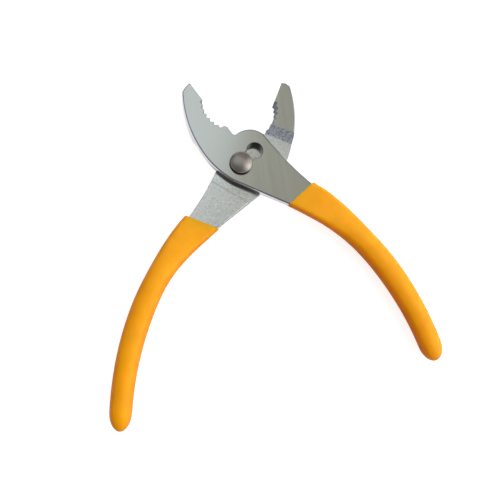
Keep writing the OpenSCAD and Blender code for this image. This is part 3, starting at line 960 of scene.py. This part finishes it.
def dipped_vinyl():
    """Vinyl whose colour is painted deeper and darker where the sleeve turns down, as painted shade on its
    sides, and that lets some red light through.
    """
    material, tree, shader = new_material("dipped_vinyl")
    if tree:
        base = bpy.context.scene.pliers_colours.vinyl
        clouds = noise(tree, 110.0, 4.0, 0.55)
        crown = node(tree, "ShaderNodeAttribute", attribute_name="crown")
        # The deeper, darker colour for the sides is painted shade
        deep = (0.94 * base[0], 0.56 * base[1], base[2], 1.0)
        both = node(tree, "ShaderNodeMixRGB", Fac=1.0, blend_type="MULTIPLY")
        painted_side_shade = ramp(tree, crown.outputs["Fac"], 0.2, 0.88, deep, tuple(base))
        tree.links.new(painted_side_shade, both.inputs["Color1"])
        tree.links.new(mottle(tree, clouds, grey(0.9), grey(1.0)), both.inputs["Color2"])
        tree.links.new(both.outputs["Color"], shader.inputs["Base Color"])
        grain = noise(tree, 1500.0, 3.0, 0.6)
        tree.links.new(mottle(tree, grain, grey(0.42), grey(0.54)), shader.inputs["Roughness"])
        bump(tree, shader, grain, 0.12, 0.00008)
        shader.inputs["Specular IOR Level"].default_value = 0.2
        shader.inputs["Subsurface Weight"].default_value = 0.6
        shader.inputs["Subsurface Radius"].default_value = (1.0, 0.15, 0.03)
        shader.inputs["Subsurface Scale"].default_value = 0.006
    return material


def white_floor():
    """A pale floor that the camera and the metal see as white."""
    material, tree, shader = new_material("white_floor")
    if tree:
        base = bpy.context.scene.pliers_colours.floor
        shader.inputs["Roughness"].default_value = 0.9
        shader.inputs["Specular IOR Level"].default_value = 0.0
        shader.inputs["Base Color"].default_value = tuple(base)
        seen, shown = seen_rays(tree), node(tree, "ShaderNodeEmission", Strength=0.8)
        none = node(tree, "ShaderNodeEmission", Strength=0.0)
        pick_one, both = node(tree, "ShaderNodeMixShader"), node(tree, "ShaderNodeAddShader")
        tree.links.new(seen, pick_one.inputs[0])
        tree.links.new(none.outputs[0], pick_one.inputs[1])
        tree.links.new(shown.outputs[0], pick_one.inputs[2])
        tree.links.new(pick_one.outputs[0], both.inputs[0])
        tree.links.new(shader.outputs[0], both.inputs[1])
        tree.links.new(both.outputs[0], tree.nodes["Material Output"].inputs["Surface"])
    return material


def seen_rays(tree):
    """1 for what the camera sees, and what metal and glass show."""
    path = node(tree, "ShaderNodeLightPath")
    first = node(tree, "ShaderNodeMath", operation="MAXIMUM")
    second = node(tree, "ShaderNodeMath", operation="MAXIMUM")
    tree.links.new(path.outputs["Is Camera Ray"], first.inputs[0])
    tree.links.new(path.outputs["Is Glossy Ray"], first.inputs[1])
    tree.links.new(first.outputs[0], second.inputs[0])
    tree.links.new(path.outputs["Is Transmission Ray"], second.inputs[1])
    return second.outputs[0]


# Stage


WHITE = (1.0, 1.0, 1.0)
LAMP_AIM = (0.0, -0.03, 0.01)
LAMPS = (  # name, place, size, power in watts, tint
    ("key_light", (1.15, -0.24, 0.72), 2.0, 10.0, WHITE),
    ("spot_light", (1.06, -0.28, 0.86), 0.6, 2.0, WHITE),
    ("overhead_light", (-0.3, 0.55, 1.0), 1.1, 1.6, (0.70, 0.82, 1.0)),
)
ROOM_STRENGTH = 0.86
SKIES = (  # a direction, two places along it and their colours: first the room, then what metal sees
    ((0.9, 0.4, 0.25), -0.7, 0.3, (0.36, 0.2, 0.14, 1.0), grey(1.2)),
    ((0.0, 0.0, 1.0), 0.02, 0.16, grey(0.95), grey(0.12)),
    ((0.0, 0.45, 1.0), 0.85, 1.02, grey(0.0), (0.285, 0.28, 0.24, 1.0)),
)
FLOOR_SIZE, FLOOR_Z = 8.0, -0.0002
CAMERA_PLACE = (-0.047136, -0.094689, 0.323035)
CAMERA_TURN = (9.7442, -6.7586, -8.96)  # in degrees
CAMERA_LENS, CAMERA_SENSOR = 43.2, 36.0  # in millimetres


def lamp(name, place, size, power, tint):
    """A round area lamp that looks at the tool."""
    deselect_all()
    bpy.ops.object.light_add(type="AREA", location=place)
    obj = bpy.context.object
    obj.name = name
    obj.data.shape = "DISK"
    obj.data.size = size
    obj.data.energy = power
    obj.data.color = tint
    obj.rotation_euler = (Vector(LAMP_AIM) - Vector(place)).to_track_quat("-Z", "Y").to_euler()


def make_stage():
    """The floor, the lamps, the world and the camera."""
    scene = bpy.context.scene
    deselect_all()
    bpy.ops.mesh.primitive_plane_add(size=FLOOR_SIZE, location=(0.0, 0.0, FLOOR_Z))
    floor = bpy.context.object
    floor.name = "floor"
    floor.data.materials.append(white_floor())
    for each in LAMPS:
        lamp(*each)
    world = bpy.data.worlds.new("studio")
    scene.world = world
    world.use_nodes = True
    tree = world.node_tree
    room = tree.nodes["Background"]
    room.inputs["Strength"].default_value = ROOM_STRENGTH
    seen = node(tree, "ShaderNodeAddShader")
    skies = [node(tree, "ShaderNodeBackground", Strength=1.0) for i in range(2)]
    for sky, (way, low, high, first, last) in zip([room] + skies, SKIES):
        along = node(tree, "ShaderNodeVectorMath", operation="DOT_PRODUCT")
        along.inputs[1].default_value = way
        tree.links.new(node(tree, "ShaderNodeTexCoord").outputs["Generated"], along.inputs[0])
        tree.links.new(ramp(tree, along.outputs["Value"], low, high, first, last), sky.inputs["Color"])
    tree.links.new(skies[0].outputs[0], seen.inputs[0])
    tree.links.new(skies[1].outputs[0], seen.inputs[1])
    mix = node(tree, "ShaderNodeMixShader")
    tree.links.new(seen_rays(tree), mix.inputs[0])
    tree.links.new(room.outputs[0], mix.inputs[1])
    tree.links.new(seen.outputs[0], mix.inputs[2])
    tree.links.new(mix.outputs[0], tree.nodes["World Output"].inputs["Surface"])
    bpy.ops.object.camera_add(location=CAMERA_PLACE)
    camera = bpy.context.object
    camera.rotation_euler = [math.radians(a) for a in CAMERA_TURN]
    camera.data.lens = CAMERA_LENS
    camera.data.sensor_width = CAMERA_SENSOR
    scene.camera = camera
    scene.view_settings.view_transform = "Standard"


# Operators


class PLIERS_OT_front_lever(bpy.types.Operator):
    """Makes the front lever, with its figure-eight slot"""

    bl_idname = "pliers.front_lever"
    bl_label = "Front Lever"

    def execute(self, context):
        make_lever(True)
        return {"FINISHED"}


class PLIERS_OT_rear_lever(bpy.types.Operator):
    """Makes the rear lever, which the bolt is held in"""

    bl_idname = "pliers.rear_lever"
    bl_label = "Rear Lever"

    def execute(self, context):
        make_lever(False)
        return {"FINISHED"}


class PLIERS_OT_pivot(bpy.types.Operator):
    """Makes the domed bolt, its washer and its nut"""

    bl_idname = "pliers.pivot"
    bl_label = "Pivot"

    def execute(self, context):
        make_bolt()
        make_washer()
        make_nut()
        return {"FINISHED"}


class PLIERS_OT_grips(bpy.types.Operator):
    """Makes the two dipped grips"""

    bl_idname = "pliers.grips"
    bl_label = "Grips"

    def execute(self, context):
        make_grip(True)
        make_grip(False)
        return {"FINISHED"}


class PLIERS_OT_stage(bpy.types.Operator):
    """Makes the floor, the lamps, the world and the camera"""

    bl_idname = "pliers.stage"
    bl_label = "Stage"

    def execute(self, context):
        make_stage()
        return {"FINISHED"}


class PLIERS_PT_panel(bpy.types.Panel):
    """Every operator, and every size and colour"""

    bl_label = "Slip Joint Pliers"
    bl_idname = "PLIERS_PT_panel"
    bl_space_type = "VIEW_3D"
    bl_region_type = "UI"
    bl_category = "Pliers"

    def draw(self, context):
        for operator in OPERATORS:
            self.layout.operator(operator.bl_idname)
        for name in ("pliers_colours", "pliers_lever", "pliers_pivot", "pliers_grip"):
            group = getattr(context.scene, name)
            box = self.layout.box()
            for key in group.bl_rna.properties.keys():
                if key not in ("rna_type", "name"):
                    box.prop(group, key)


GROUPS = {
    "pliers_lever": PliersLeverSizes,
    "pliers_pivot": PliersPivotSizes,
    "pliers_grip": PliersGripSizes,
    "pliers_colours": PliersColours,
}
OPERATORS = (PLIERS_OT_stage, PLIERS_OT_front_lever, PLIERS_OT_rear_lever, PLIERS_OT_pivot, PLIERS_OT_grips)


def register():
    for name, group in GROUPS.items():
        bpy.utils.register_class(group)
        setattr(bpy.types.Scene, name, bpy.props.PointerProperty(type=group))
    for item in OPERATORS + (PLIERS_PT_panel,):
        bpy.utils.register_class(item)


def unregister():
    for item in (PLIERS_PT_panel,) + OPERATORS:
        bpy.utils.unregister_class(item)
    for name, group in GROUPS.items():
        delattr(bpy.types.Scene, name)
        bpy.utils.unregister_class(group)


def main():
    register()
    bpy.ops.pliers.stage()
    bpy.ops.pliers.front_lever()
    bpy.ops.pliers.rear_lever()
    bpy.ops.pliers.pivot()
    bpy.ops.pliers.grips()


if __name__ == "__main__":
    main()
